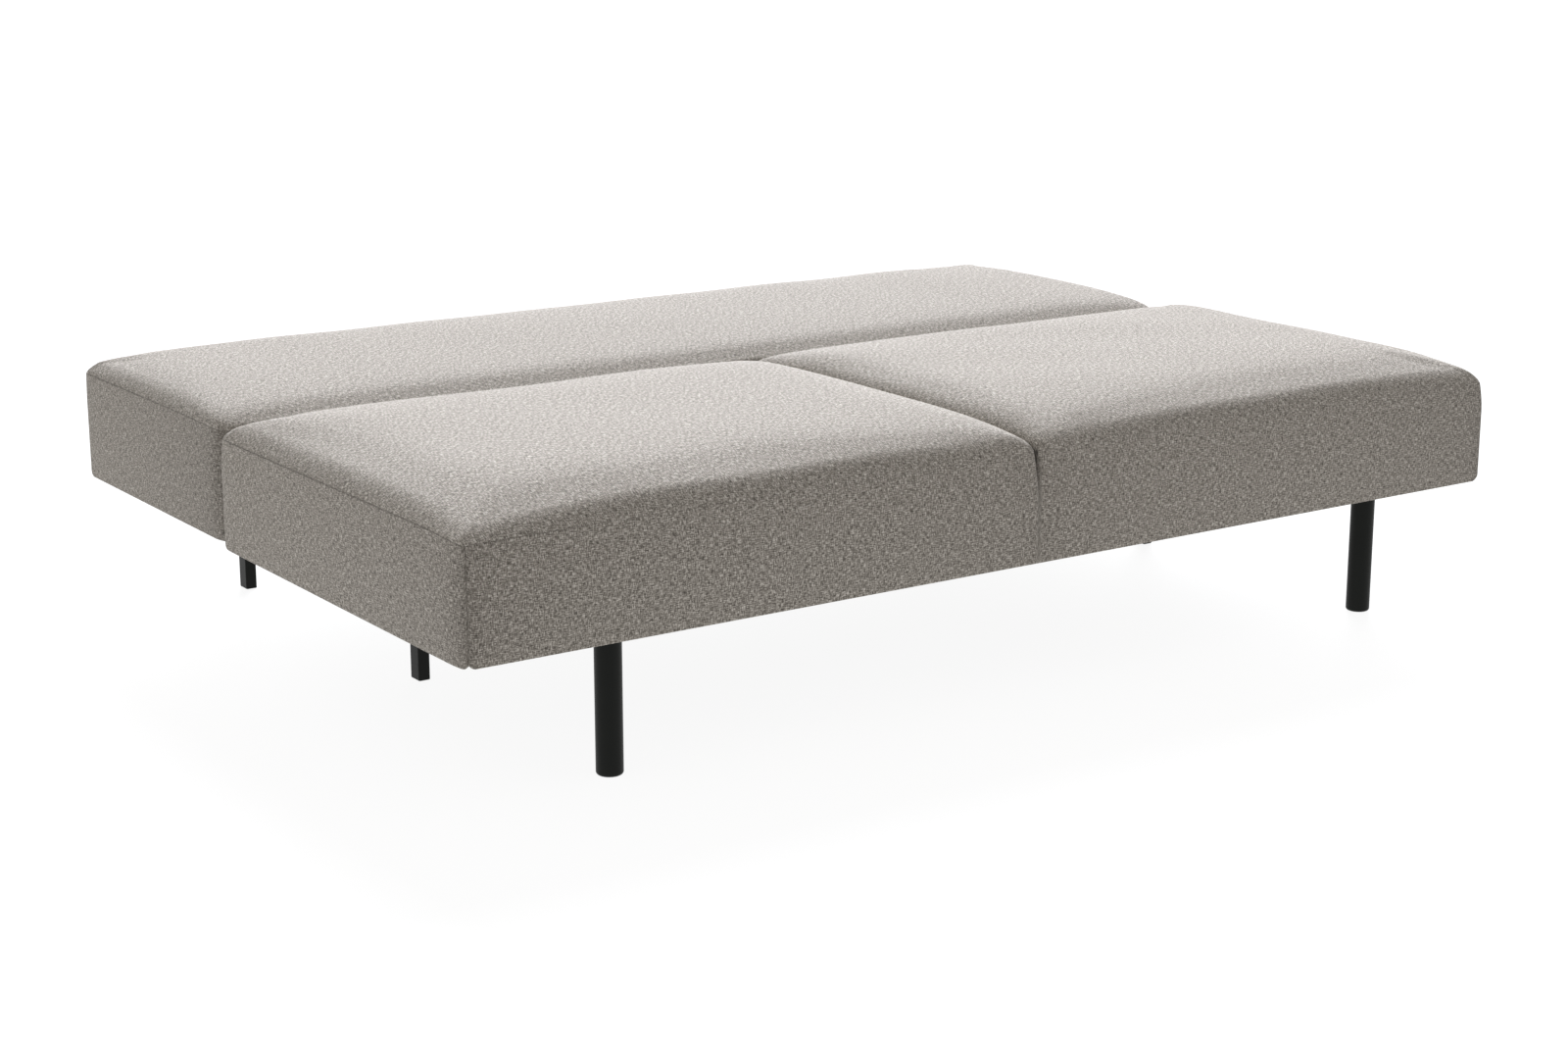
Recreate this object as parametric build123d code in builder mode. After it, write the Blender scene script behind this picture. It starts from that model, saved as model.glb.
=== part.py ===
from build123d import *
import os
from math import atan2, cos, hypot, sin

# A two-seat sofa bed laid flat: X runs along its width, -Y is its front, Z is up.
# The origin is on the floor, under the middle of the flat bed. Sizes are millimetres.

# Overall form of the flat bed
bed_width = 2000.0
bed_depth = 1400.0
underside_height = 203.0
seat_depth = 803.0
fold_gap = 12.0
back_end_inset = 8.0

# Upholstered blocks: border, rounded top edge, crown and the tuck between the two seat pads
end_seam_height = 184.0
front_seam_height = 190.0
border_draw = 3.0
edge_run = 34.0
edge_rise = 33.0
width_crown = 16.0
depth_crown = 20.0
corner_radius = 12.0
end_under_radius = 6.0
front_under_radius = 5.0
tuck_radius = 4.0
tuck_depth = 70.0
least_radius = 2.0
outline_ease = 0.5
cover_thickness = 2.0
cover_turn_under = 55.0
foam_clearance = 0.3
lining_clearance = 0.3

# Timber frames inside the blocks
border_padding = 22.0
frame_height = 85.0
timber_thickness = 25.0
front_rail_thickness = 40.0
corner_block_leg = 70.0
corner_block_height = 60.0

# Serpentine springs and their clips
wire_radius = 2.0
spring_pitch = 30.0
spring_straight = 20.0
spring_lanes = 4
clip_width = 16.0
clip_depth = 14.0
clip_height = 7.0
clip_clearance = 0.3

# Rectangular steel tube of the base
tube_width = 20.0
tube_depth = 30.0
tube_wall = 2.0
tube_corner = 3.0
least_corner = 1.0
rail_end_setback = 238.0
middle_leg_from_fold = 208.0
rear_leg_setback = 135.0
foot_cap_height = 4.0
foot_cap_round = 1.5
rail_cap_flange = 2.0
cap_plug_depth = 15.0
cap_clearance = 0.2

# Round front legs and their mounting
front_leg_radius = 20.0
front_leg_round = 5.0
front_leg_setback = 40.0
front_leg_end_setback = 249.0
stud_radius = 5.0
stud_in_leg = 30.0
stud_in_rail = 20.0
stud_clearance = 0.05
plate_length = 100.0
plate_width = 30.0
plate_thickness = 4.0
plate_nut_radius = 9.0
plate_nut_height = 10.0
plate_clearance = 0.3
plate_screw_spacing = 70.0
plate_screw_radius = 2.5
plate_screw_head_radius = 4.5
plate_screw_length = 22.0
plate_screw_head_height = 2.5
screw_clearance = 0.05
leg_hole_room = 1.0

# Rest pads under the lowered back
pad_thickness = 4.0
pad_radius = 9.0
pad_stem_radius = 4.0
pad_stem_depth = 6.0
pad_from_leg = 45.0

# Folding hinges
pivot_rise = 0.0
pivot_radius = 5.0
pivot_clearance = 0.05
pin_press_clearance = 0.02
pin_head_radius = 8.0
pin_head_height = 4.0
arm_thickness = 5.0
arm_boss_radius = 11.0
arm_plate_length = 120.0
arm_plate_height = 56.0
arm_plate_gap = 14.0
arm_neck_width = 34.0
arm_room = 1.5
washer_thickness = 1.0
washer_radius = 10.0

# Bolts through the bearers
bolt_radius = 4.0
bolt_clearance = 0.2
bolt_head_radius = 6.5
bolt_head_height = 5.5
arm_bolt_spacing = 80.0
base_bolt_spacing = 80.0
base_bolt_depth = 36.0

# Places worked out from the sizes
bed_front = -bed_depth / 2
bed_rear = bed_depth / 2
seat_end = bed_width / 2
back_end = seat_end - back_end_inset
seat_rear = bed_front + seat_depth
fold_line = seat_rear + fold_gap / 2
back_front = seat_rear + fold_gap
seat_base = underside_height
back_base = underside_height + pad_thickness
end_seam = underside_height + end_seam_height
front_seam = underside_height + front_seam_height
crown_height = end_seam + edge_rise + width_crown
tuck_base = crown_height - tuck_depth
frame_top = seat_base + cover_thickness + frame_height
foam_base = frame_top + clip_height
pivot_height = front_seam + pivot_rise
rail_x = seat_end - rail_end_setback
rail_base = underside_height - tube_depth
middle_leg_y = fold_line - middle_leg_from_fold
rear_leg_y = bed_rear - rear_leg_setback
rail_front = middle_leg_y - tube_depth / 2
rail_rear = rear_leg_y + tube_depth / 2
front_leg_x = seat_end - front_leg_end_setback
front_leg_y = bed_front + front_leg_setback
seat_bearer_x = rail_x
seat_arm_x = seat_bearer_x + timber_thickness / 2
inner_washer_x = seat_arm_x + arm_thickness
back_arm_x = inner_washer_x + washer_thickness
back_bearer_x = back_arm_x - timber_thickness / 2
outer_washer_x = back_arm_x + arm_thickness
pin_tail_x = outer_washer_x + washer_thickness
seat_frame_end = seat_end - border_padding
back_frame_end = back_end - border_padding
seat_frame_front = bed_front + border_padding
seat_frame_rear = seat_rear - border_padding
back_frame_front = back_front + border_padding
back_frame_rear = bed_rear - border_padding
seat_frame_base = seat_base + cover_thickness
back_frame_base = back_base + cover_thickness
bearer_middle = (back_frame_base + frame_top) / 2
arm_plate_top = bearer_middle + arm_plate_height / 2
arm_plate_start = fold_gap / 2 + border_padding + timber_thickness + arm_plate_gap
sides = {"left": -1, "right": 1}

os.makedirs("parts", exist_ok=True)


def save(piece, name):
    """Label a finished piece with its name and write it as its own file."""
    piece.part.label = name
    export_step(piece.part, f"parts/{name}.step")


def block_section(plane, low, high, base, seam, draws, crown, under_radii, inset):
    """Face of a block's upright section between its low and high sides, taken in by inset all round.

    Each border bows out to its full size at mid height and draws in at the seam and the under-edge.
    A shallow arc crowns the top, and from each of its ends a round edge runs on down to the seam.
    under_radii rounds the under-edge of the low and the high side, and a side with none stays square.
    """
    low_bow = low + inset
    high_bow = high - inset
    low_seam = low_bow + draws[0]
    high_seam = high_bow - draws[1]
    bottom = base + inset
    shoulder = seam + edge_rise - inset
    bow_height = (bottom + seam) / 2
    middle = (low_seam + high_seam) / 2
    low_shoulder = (low_seam + edge_run - inset, shoulder)
    high_shoulder = (high_seam - edge_run + inset, shoulder)
    slope = 2 * atan2(crown, middle - low_shoulder[0])
    with BuildSketch(plane) as section:
        with BuildLine():
            if draws[0]:
                ThreePointArc((low_seam, bottom), (low_bow, bow_height), (low_seam, seam))
            else:
                Line((low_seam, bottom), (low_seam, seam))
            TangentArc(low_shoulder, (low_seam, seam), tangent=(-cos(slope), -sin(slope)))
            ThreePointArc(low_shoulder, (middle, shoulder + crown), high_shoulder)
            TangentArc(high_shoulder, (high_seam, seam), tangent=(cos(slope), -sin(slope)))
            if draws[1]:
                ThreePointArc((high_seam, seam), (high_bow, bow_height), (high_seam, bottom))
            else:
                Line((high_seam, seam), (high_seam, bottom))
            Line((high_seam, bottom), (low_seam, bottom))
        make_face()
        corners = section.vertices().group_by(Axis.Y)[0].sort_by(Axis.X)
        rounded = [corner for corner, radius in zip(corners, under_radii) if radius]
        fillet(rounded, max(max(under_radii) - inset, least_radius))
    return section.sketch


def padded_block(west, east, south, north, base, draws, radii, inset):
    """Crowned block: its section across the width and its section along the depth, met at right angles.

    draws holds how far the west, east, south and north borders draw in, and radii the plan corner
    radius of the west and east ends. An outline a little outside the borders rounds the plan corners.
    The block is taken in by inset all round.
    """
    middle_x = (west + east) / 2
    middle_y = (south + north) / 2
    width = east - west - 2 * inset + 2 * outline_ease
    depth = north - south - 2 * inset + 2 * outline_ease
    across_plane = Plane.XZ.offset(-middle_y)
    along_plane = Plane.YZ.offset(middle_x)
    end_radii = [end_under_radius if draw else 0 for draw in draws[:2]]
    front_radii = [front_under_radius, front_under_radius]
    across = block_section(
        across_plane, west, east, base, end_seam, draws[:2], width_crown, end_radii, inset
    )
    along = block_section(
        along_plane, south, north, base, front_seam, draws[2:], depth_crown, front_radii, inset
    )
    with BuildPart() as block:
        extrude(across, amount=depth / 2, both=True)
        extrude(along, amount=width / 2, both=True, mode=Mode.INTERSECT)
        with BuildSketch(Plane.XY.offset(base)) as outline:
            with Locations((middle_x, middle_y)):
                Rectangle(width, depth)
            fillet(outline.vertices().group_by(Axis.X)[0], max(radii[0] - inset, least_radius))
            fillet(outline.vertices().group_by(Axis.X)[-1], max(radii[1] - inset, least_radius))
        extrude(amount=2 * (crown_height - base), both=True, mode=Mode.INTERSECT)
    return block.part


def seat_pad(side, inset=0.0):
    """One half of the seat block; its inner side is straight, where the tuck divides the two pads."""
    if side == "left":
        draws = (border_draw, 0, border_draw, 0)
        radii = (corner_radius, tuck_radius)
        return padded_block(-seat_end, 0, bed_front, seat_rear, seat_base, draws, radii, inset)
    draws = (0, border_draw, border_draw, 0)
    radii = (tuck_radius, corner_radius)
    return padded_block(0, seat_end, bed_front, seat_rear, seat_base, draws, radii, inset)


def back_pad(inset=0.0):
    """The back block, straight along the fold and drawn in on its other three sides."""
    draws = (border_draw, border_draw, 0, border_draw)
    radii = (corner_radius, corner_radius)
    return padded_block(-back_end, back_end, back_front, bed_rear, back_base, draws, radii, inset)


def box_between(low, high, mode=Mode.ADD):
    """Box between two opposite corners."""
    with Locations(tuple((a + b) / 2 for a, b in zip(low, high))):
        Box(*(b - a for a, b in zip(low, high)), mode=mode)


def hinge_neck(toward, grow=0.0):
    """Boss and neck of a hinge arm seen along X, grown all round; toward is -1 for the seat, 1 for the back."""
    root_y = fold_line + toward * (arm_plate_start + arm_neck_width / 2)
    run = root_y - fold_line
    drop = pivot_height - arm_plate_top
    length = hypot(run, drop)
    side_y = drop / length * (arm_boss_radius + grow)
    side_z = run / length * (arm_boss_radius + grow)
    foot = arm_neck_width / 2 + grow
    with Locations((fold_line, pivot_height)):
        Circle(arm_boss_radius + grow)
    Polygon(
        (root_y - foot, arm_plate_top),
        (root_y + foot, arm_plate_top),
        (fold_line + side_y, pivot_height + side_z),
        (fold_line - side_y, pivot_height - side_z),
        align=None,
    )


def hinge_slot(toward, sign):
    """Room for the hinge on one side: the neck and boss with space round them, through both arms and the pin."""
    inner = seat_arm_x - pin_head_height - arm_room
    outer = pin_tail_x + pin_head_height + arm_room
    with BuildPart() as slot:
        with BuildSketch(Plane.YZ.offset(sign * (inner + outer) / 2)):
            hinge_neck(toward, arm_room)
        extrude(amount=(outer - inner) / 2, both=True)
    return slot.part


# Seat timber frame: front and rear rails the full width, and end rails, bearers and a centre rail between them
def timber_rail(low, high):
    """Plain timber between two opposite corners."""
    with BuildPart() as rail:
        box_between(low, high)
    return rail


front_rail_rear = seat_frame_front + front_rail_thickness
rear_rail_front = seat_frame_rear - timber_thickness
base_bolt_places = [
    (rail_front + rear_rail_front + tube_depth + step * base_bolt_spacing) / 2 for step in (-1, 1)
]
arm_bolt_centre = arm_plate_start + arm_plate_length / 2
arm_bolt_steps = [arm_bolt_centre - arm_bolt_spacing / 2, arm_bolt_centre + arm_bolt_spacing / 2]
screw_places = [
    (x + step * plate_screw_spacing / 2, front_leg_y)
    for x in (-front_leg_x, front_leg_x)
    for step in (-1, 1)
]

with BuildPart() as seat_front_rail:
    box_between(
        (-seat_frame_end, seat_frame_front, seat_frame_base), (seat_frame_end, front_rail_rear, frame_top)
    )
    for x in (-front_leg_x, front_leg_x):
        with Locations((x, front_leg_y, seat_frame_base)):
            Box(
                plate_length + 2 * plate_clearance,
                plate_width + 2 * plate_clearance,
                2 * plate_thickness,
                mode=Mode.SUBTRACT,
            )
            Cylinder(
                plate_nut_radius + plate_clearance,
                2 * max(plate_thickness + plate_nut_height, stud_in_rail + cover_thickness),
                mode=Mode.SUBTRACT,
            )
    with Locations(*((x, y, seat_frame_base) for x, y in screw_places)):
        Cylinder(plate_screw_radius + screw_clearance, 2 * plate_screw_length, mode=Mode.SUBTRACT)
save(seat_front_rail, "seat_front_rail")

seat_rear_rail = timber_rail(
    (-seat_frame_end, rear_rail_front, seat_frame_base), (seat_frame_end, seat_frame_rear, frame_top)
)
save(seat_rear_rail, "seat_rear_rail")

seat_centre_rail = timber_rail(
    (-timber_thickness / 2, front_rail_rear, seat_frame_base),
    (timber_thickness / 2, rear_rail_front, frame_top),
)
save(seat_centre_rail, "seat_centre_rail")

for side, sign in sides.items():
    inner_end = sign * (seat_frame_end - timber_thickness)
    outer_end = sign * seat_frame_end
    seat_end_rail = timber_rail(
        (min(inner_end, outer_end), front_rail_rear, seat_frame_base),
        (max(inner_end, outer_end), rear_rail_front, frame_top),
    )
    save(seat_end_rail, f"seat_end_rail_{side}")
    middle = sign * seat_bearer_x
    with BuildPart() as seat_bearer:
        box_between(
            (middle - timber_thickness / 2, front_rail_rear, seat_frame_base),
            (middle + timber_thickness / 2, rear_rail_front, frame_top),
        )
        with Locations(*((middle, y, seat_frame_base) for y in base_bolt_places)):
            Cylinder(bolt_radius + bolt_clearance, 2 * base_bolt_depth, mode=Mode.SUBTRACT)
        with Locations(*((middle, fold_line - step, bearer_middle) for step in arm_bolt_steps)):
            Cylinder(
                bolt_radius + bolt_clearance, 2 * timber_thickness, rotation=(0, 90, 0), mode=Mode.SUBTRACT
            )
    save(seat_bearer, f"seat_bearer_{side}")

with BuildPart() as seat_corner_blocks:
    for x_sign in sides.values():
        for corner_y, y_sign in ((front_rail_rear, 1), (rear_rail_front, -1)):
            corner_x = x_sign * (seat_frame_end - timber_thickness)
            with BuildSketch(Plane.XY.offset(seat_frame_base)):
                Polygon(
                    (corner_x, corner_y),
                    (corner_x - x_sign * corner_block_leg, corner_y),
                    (corner_x, corner_y + y_sign * corner_block_leg),
                    align=None,
                )
    extrude(amount=corner_block_height)
save(seat_corner_blocks, "seat_corner_blocks")


# Serpentine springs: wire bent to and fro, held at each end by a clip on the rail
def serpentine(span):
    """Wire that runs to and fro across its lane and advances a pitch at every half turn, span long in all."""
    turns = max(1, round(span / spring_pitch))
    pitch = span / turns
    half = spring_straight / 2
    with BuildPart() as spring:
        with BuildLine():
            for turn in range(turns + 1):
                y = turn * pitch
                end = half if turn % 2 == 0 else -half
                Line((-end, y), (end, y))
                if turn < turns:
                    reach = end + (pitch / 2 if end > 0 else -pitch / 2)
                    ThreePointArc((end, y), (reach, y + pitch / 2), (end, y + pitch))
        with BuildSketch(Plane(origin=(-half, 0, 0), x_dir=(0, 1, 0), z_dir=(1, 0, 0))):
            Circle(wire_radius)
        sweep()
    return spring.part


def lanes(bearer_x, frame_end):
    """Places of the springs across the width: even lanes beside the centre rail, and one outside each bearer."""
    inner = timber_thickness / 2
    outer = bearer_x - timber_thickness / 2
    step = (outer - inner) / spring_lanes
    places = [inner + step * (lane + 0.5) for lane in range(spring_lanes)]
    places.append((bearer_x + frame_end) / 2)
    return [sign * place for sign in sides.values() for place in places]


def spring_set(places, front_y, rear_y):
    """All the springs of a frame, from the middle of one rail to the middle of the other."""
    spring = serpentine(rear_y - front_y)
    with BuildPart() as springs:
        with Locations(*((x, front_y, frame_top + clip_height / 2) for x in places)):
            add(spring)
    return springs


def clip_set(places, front_y, rear_y):
    """A clip on the rail at both ends of every spring, with the wire through it."""
    spots = [(x, y, frame_top + clip_height / 2) for x in places for y in (front_y, rear_y)]
    with BuildPart() as clips:
        with Locations(*spots):
            Box(clip_width, clip_depth, clip_height)
            Cylinder(
                wire_radius + clip_clearance, 2 * clip_width, rotation=(0, 90, 0), mode=Mode.SUBTRACT
            )
    return clips


seat_lanes = lanes(seat_bearer_x, seat_frame_end - timber_thickness)
seat_spring_front = seat_frame_front + front_rail_thickness / 2
seat_spring_rear = seat_frame_rear - timber_thickness / 2
save(spring_set(seat_lanes, seat_spring_front, seat_spring_rear), "seat_springs")
save(clip_set(seat_lanes, seat_spring_front, seat_spring_rear), "seat_spring_clips")

# Seat upholstery: a foam block under each pad, padding the frame's sides too, inside one sewn cover
foam_inset = cover_thickness + foam_clearance
for side, sign in sides.items():
    with BuildPart() as seat_foam:
        add(seat_pad(side, foam_inset))
        box_between(
            (-seat_frame_end - foam_clearance, seat_frame_front - foam_clearance, 0),
            (seat_frame_end + foam_clearance, seat_frame_rear + foam_clearance, foam_base),
            mode=Mode.SUBTRACT,
        )
        add(hinge_slot(-1, sign), mode=Mode.SUBTRACT)
    save(seat_foam, f"seat_foam_{side}")

with BuildPart() as seat_cover:
    for side in sides:
        add(seat_pad(side))
    for side in sides:
        add(seat_pad(side, cover_thickness), mode=Mode.SUBTRACT)
    box_between(
        (-2 * cover_thickness, bed_front + border_draw + cover_thickness + tuck_radius, seat_frame_base),
        (2 * cover_thickness, seat_rear - cover_thickness - tuck_radius, tuck_base),
        mode=Mode.SUBTRACT,
    )
    box_between(
        (-seat_end + cover_turn_under, bed_front + cover_turn_under, 0),
        (seat_end - cover_turn_under, seat_rear - cover_turn_under, foam_base),
        mode=Mode.SUBTRACT,
    )
    for sign in sides.values():
        add(hinge_slot(-1, sign), mode=Mode.SUBTRACT)
        with Locations((sign * front_leg_x, front_leg_y, seat_base)):
            Cylinder(stud_radius + leg_hole_room, 4 * cover_thickness, mode=Mode.SUBTRACT)
save(seat_cover, "seat_cover")

lining_inset = cover_turn_under + lining_clearance
with BuildPart() as seat_lining:
    box_between(
        (-seat_end + lining_inset, bed_front + lining_inset, seat_base),
        (seat_end - lining_inset, seat_rear - lining_inset, seat_frame_base),
    )
    for sign in sides.values():
        with Locations(*((sign * rail_x, y, seat_base) for y in base_bolt_places)):
            Cylinder(bolt_radius + bolt_clearance, 4 * cover_thickness, mode=Mode.SUBTRACT)
save(seat_lining, "seat_lining")

# Back timber frame, laid out as the seat's
front_rail_inner = back_frame_front + timber_thickness
rear_rail_inner = back_frame_rear - timber_thickness
back_front_rail = timber_rail(
    (-back_frame_end, back_frame_front, back_frame_base), (back_frame_end, front_rail_inner, frame_top)
)
save(back_front_rail, "back_front_rail")
back_rear_rail = timber_rail(
    (-back_frame_end, rear_rail_inner, back_frame_base), (back_frame_end, back_frame_rear, frame_top)
)
save(back_rear_rail, "back_rear_rail")
back_centre_rail = timber_rail(
    (-timber_thickness / 2, front_rail_inner, back_frame_base),
    (timber_thickness / 2, rear_rail_inner, frame_top),
)
save(back_centre_rail, "back_centre_rail")

for side, sign in sides.items():
    inner_end = sign * (back_frame_end - timber_thickness)
    outer_end = sign * back_frame_end
    back_end_rail = timber_rail(
        (min(inner_end, outer_end), front_rail_inner, back_frame_base),
        (max(inner_end, outer_end), rear_rail_inner, frame_top),
    )
    save(back_end_rail, f"back_end_rail_{side}")
    middle = sign * back_bearer_x
    with BuildPart() as back_bearer:
        box_between(
            (middle - timber_thickness / 2, front_rail_inner, back_frame_base),
            (middle + timber_thickness / 2, rear_rail_inner, frame_top),
        )
        with Locations(*((middle, fold_line + step, bearer_middle) for step in arm_bolt_steps)):
            Cylinder(
                bolt_radius + bolt_clearance, 2 * timber_thickness, rotation=(0, 90, 0), mode=Mode.SUBTRACT
            )
    save(back_bearer, f"back_bearer_{side}")

with BuildPart() as back_corner_blocks:
    for x_sign in sides.values():
        for corner_y, y_sign in ((front_rail_inner, 1), (rear_rail_inner, -1)):
            corner_x = x_sign * (back_frame_end - timber_thickness)
            with BuildSketch(Plane.XY.offset(back_frame_base)):
                Polygon(
                    (corner_x, corner_y),
                    (corner_x - x_sign * corner_block_leg, corner_y),
                    (corner_x, corner_y + y_sign * corner_block_leg),
                    align=None,
                )
    extrude(amount=corner_block_height)
save(back_corner_blocks, "back_corner_blocks")

back_lanes = lanes(back_bearer_x, back_frame_end - timber_thickness)
back_spring_front = back_frame_front + timber_thickness / 2
back_spring_rear = back_frame_rear - timber_thickness / 2
save(spring_set(back_lanes, back_spring_front, back_spring_rear), "back_springs")
save(clip_set(back_lanes, back_spring_front, back_spring_rear), "back_spring_clips")

# Back upholstery: one foam block inside one sewn cover
with BuildPart() as back_foam:
    add(back_pad(foam_inset))
    box_between(
        (-back_frame_end - foam_clearance, back_frame_front - foam_clearance, 0),
        (back_frame_end + foam_clearance, back_frame_rear + foam_clearance, foam_base),
        mode=Mode.SUBTRACT,
    )
    for sign in sides.values():
        add(hinge_slot(1, sign), mode=Mode.SUBTRACT)
save(back_foam, "back_foam")

with BuildPart() as back_cover:
    add(back_pad())
    add(back_pad(cover_thickness), mode=Mode.SUBTRACT)
    box_between(
        (-back_end + cover_turn_under, back_front + cover_turn_under, 0),
        (back_end - cover_turn_under, bed_rear - cover_turn_under, foam_base),
        mode=Mode.SUBTRACT,
    )
    for sign in sides.values():
        add(hinge_slot(1, sign), mode=Mode.SUBTRACT)
save(back_cover, "back_cover")

with BuildPart() as back_lining:
    box_between(
        (-back_end + lining_inset, back_front + lining_inset, back_base),
        (back_end - lining_inset, bed_rear - lining_inset, back_frame_base),
    )
save(back_lining, "back_lining")


# Base frame: rectangular tube side rails on tube legs, joined by cross tubes
def tube_section(width, depth):
    """Hollow rectangle of the base tube, rounded at its corners."""
    RectangleRounded(width, depth, tube_corner)
    inner_corner = max(tube_corner - tube_wall, least_corner)
    RectangleRounded(width - 2 * tube_wall, depth - 2 * tube_wall, inner_corner, mode=Mode.SUBTRACT)


def plug_section():
    """Outline of a plastic plug that slides into the base tube."""
    RectangleRounded(
        tube_width - 2 * (tube_wall + cap_clearance), tube_depth - 2 * (tube_wall + cap_clearance), least_corner
    )


pad_places = [back_frame_front + timber_thickness / 2, rear_leg_y - pad_from_leg]
rail_middle_height = underside_height - tube_depth / 2
for side, sign in sides.items():
    x = sign * rail_x
    with BuildPart() as side_rail:
        with BuildSketch(Plane.XZ.offset(-(rail_front + rail_rear) / 2)):
            with Locations((x, rail_middle_height)):
                tube_section(tube_width, tube_depth)
        extrude(amount=(rail_rear - rail_front) / 2, both=True)
        with Locations(*((x, y, rail_middle_height) for y in base_bolt_places)):
            Cylinder(bolt_radius + bolt_clearance, 2 * tube_depth, mode=Mode.SUBTRACT)
        with Locations(*((x, y, underside_height) for y in pad_places)):
            Cylinder(pad_stem_radius + cap_clearance, 2 * pad_stem_depth, mode=Mode.SUBTRACT)
    save(side_rail, f"side_rail_{side}")

    for leg_name, leg_y in (("middle", middle_leg_y), ("rear", rear_leg_y)):
        with BuildPart() as tube_leg:
            with BuildSketch(Plane.XY.offset(foot_cap_height)):
                with Locations((x, leg_y)):
                    tube_section(tube_width, tube_depth)
            extrude(amount=rail_base - foot_cap_height)
        save(tube_leg, f"{leg_name}_leg_{side}")

        with BuildPart() as foot_cap:
            with BuildSketch():
                with Locations((x, leg_y)):
                    RectangleRounded(tube_width, tube_depth, tube_corner)
            extrude(amount=foot_cap_height)
            fillet(foot_cap.faces().sort_by(Axis.Z)[0].edges(), foot_cap_round)
            with BuildSketch(Plane.XY.offset(foot_cap_height)):
                with Locations((x, leg_y)):
                    plug_section()
            extrude(amount=cap_plug_depth)
        save(foot_cap, f"{leg_name}_foot_cap_{side}")

cross_half = rail_x - tube_width / 2
for tube_name, tube_y in (("front", middle_leg_y), ("rear", rear_leg_y)):
    with BuildPart() as cross_tube:
        with BuildSketch(Plane.YZ):
            with Locations((tube_y, rail_middle_height)):
                tube_section(tube_width, tube_depth)
        extrude(amount=cross_half, both=True)
    save(cross_tube, f"{tube_name}_cross_tube")

with BuildPart() as rail_end_caps:
    for x in (-rail_x, rail_x):
        for end_y, outward in ((rail_front, -1), (rail_rear, 1)):
            with BuildSketch(Plane.XZ.offset(-(end_y + outward * rail_cap_flange / 2))):
                with Locations((x, rail_middle_height)):
                    RectangleRounded(tube_width, tube_depth, tube_corner)
            extrude(amount=rail_cap_flange / 2, both=True)
            with BuildSketch(Plane.XZ.offset(-(end_y - outward * cap_plug_depth / 2))):
                with Locations((x, rail_middle_height)):
                    plug_section()
            extrude(amount=cap_plug_depth / 2, both=True)
save(rail_end_caps, "rail_end_caps")

with BuildPart() as rest_pads:
    for x in (-rail_x, rail_x):
        with Locations(*((x, y, underside_height) for y in pad_places)):
            Cylinder(pad_radius, pad_thickness, align=(Align.CENTER, Align.CENTER, Align.MIN))
            Cylinder(pad_stem_radius, pad_stem_depth, align=(Align.CENTER, Align.CENTER, Align.MAX))
save(rest_pads, "rest_pads")

with BuildPart() as base_bolts:
    for x in (-rail_x, rail_x):
        for y in base_bolt_places:
            with BuildSketch(Plane.XY.offset(rail_base)):
                with Locations((x, y)):
                    RegularPolygon(bolt_head_radius, 6)
            extrude(amount=-bolt_head_height)
            with BuildSketch(Plane.XY.offset(rail_base)):
                with Locations((x, y)):
                    Circle(bolt_radius)
            extrude(amount=tube_depth + cover_thickness + base_bolt_depth - bolt_clearance)
save(base_bolts, "base_bolts")

# Round front legs, each with a stud that screws into a plate let into the front rail
for side, sign in sides.items():
    spot = (sign * front_leg_x, front_leg_y)
    with BuildPart() as front_leg:
        with BuildSketch():
            with Locations(spot):
                Circle(front_leg_radius)
        extrude(amount=underside_height)
        fillet(front_leg.faces().sort_by(Axis.Z)[0].edges(), front_leg_round)
        with Locations((*spot, underside_height)):
            Cylinder(stud_radius + stud_clearance, 2 * stud_in_leg, mode=Mode.SUBTRACT)
    save(front_leg, f"front_leg_{side}")

with BuildPart() as leg_studs:
    for x in (-front_leg_x, front_leg_x):
        with BuildSketch(Plane.XY.offset(underside_height - stud_in_leg)):
            with Locations((x, front_leg_y)):
                Circle(stud_radius)
        extrude(amount=stud_in_leg + stud_in_rail)
save(leg_studs, "leg_studs")

with BuildPart() as leg_plates:
    for x in (-front_leg_x, front_leg_x):
        with BuildSketch(Plane.XY.offset(seat_frame_base)):
            with Locations((x, front_leg_y)):
                Rectangle(plate_length, plate_width)
        extrude(amount=plate_thickness)
        with BuildSketch(Plane.XY.offset(seat_frame_base + plate_thickness)):
            with Locations((x, front_leg_y)):
                Circle(plate_nut_radius)
        extrude(amount=plate_nut_height)
        with Locations((x, front_leg_y, seat_frame_base)):
            Cylinder(
                stud_radius + stud_clearance, 4 * (plate_thickness + plate_nut_height), mode=Mode.SUBTRACT
            )
    with Locations(*((x, y, seat_frame_base) for x, y in screw_places)):
        Cylinder(plate_screw_radius + screw_clearance, 4 * plate_thickness, mode=Mode.SUBTRACT)
        Cone(
            plate_screw_head_radius + screw_clearance,
            plate_screw_radius + screw_clearance,
            plate_screw_head_height,
            align=(Align.CENTER, Align.CENTER, Align.MIN),
            mode=Mode.SUBTRACT,
        )
save(leg_plates, "leg_plates")

with BuildPart() as leg_plate_screws:
    with Locations(*((x, y, seat_frame_base) for x, y in screw_places)):
        Cone(
            plate_screw_head_radius,
            plate_screw_radius,
            plate_screw_head_height,
            align=(Align.CENTER, Align.CENTER, Align.MIN),
        )
        Cylinder(
            plate_screw_radius,
            plate_screw_length - screw_clearance,
            align=(Align.CENTER, Align.CENTER, Align.MIN),
        )
save(leg_plate_screws, "leg_plate_screws")


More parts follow.
